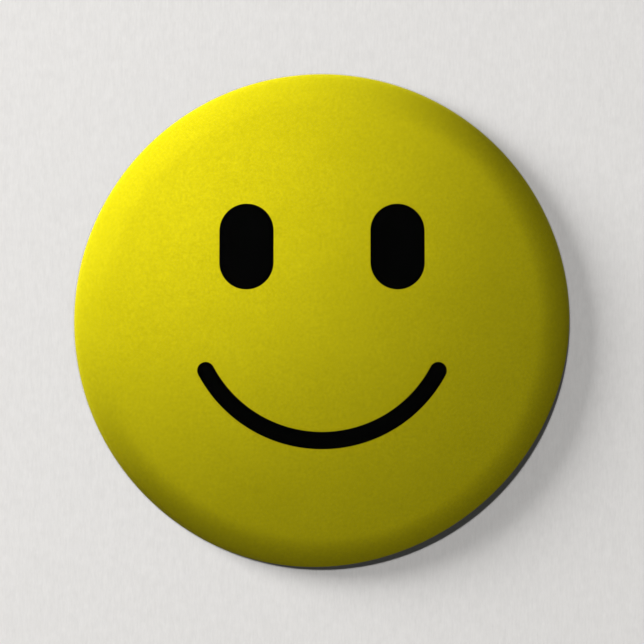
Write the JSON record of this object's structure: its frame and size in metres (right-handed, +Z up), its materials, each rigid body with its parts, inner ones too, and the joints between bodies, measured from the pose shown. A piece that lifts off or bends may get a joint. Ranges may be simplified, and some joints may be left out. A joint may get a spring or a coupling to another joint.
{
  "type": "button badge",
  "caption": "Round film-covered button badge with a domed face, a crimped rim and a spring-wire pin that swings out of a catch on its back.",
  "frame": {"origin": "centre of the flat bearing rim at the back of the badge", "axes": "the face looks along -Y, the back and its pin along +Y, and +Z is up as the badge is worn"},
  "size_m": [0.0572, 0.0081, 0.0572],
  "materials": {
    "clear_film": "clear satin film",
    "printed_paper": "yellow printed paper",
    "ink": "black ink",
    "tinplate": "bright tinplate, pressed",
    "wire": "nickel-plated spring wire"
  },
  "bodies": {
    "badge": {"clear_film": "clear_film", "artwork_disc": "printed_paper", "face_print": "ink", "front_shell": "tinplate", "back_plate": "tinplate", "pin_anchor": "wire"},
    "pin": {"pin_stem": "wire"}
  },
  "joints": [
    {"name": "pin_swing", "type": "hinge", "parent": "badge", "child": "pin", "pos_m": [0.0172, -0.00085, 0.00613], "axis": [0, -0.766, -0.6428], "range_deg": [0, 60], "stiffness_Nm_per_rad": 0.02}
  ]
}
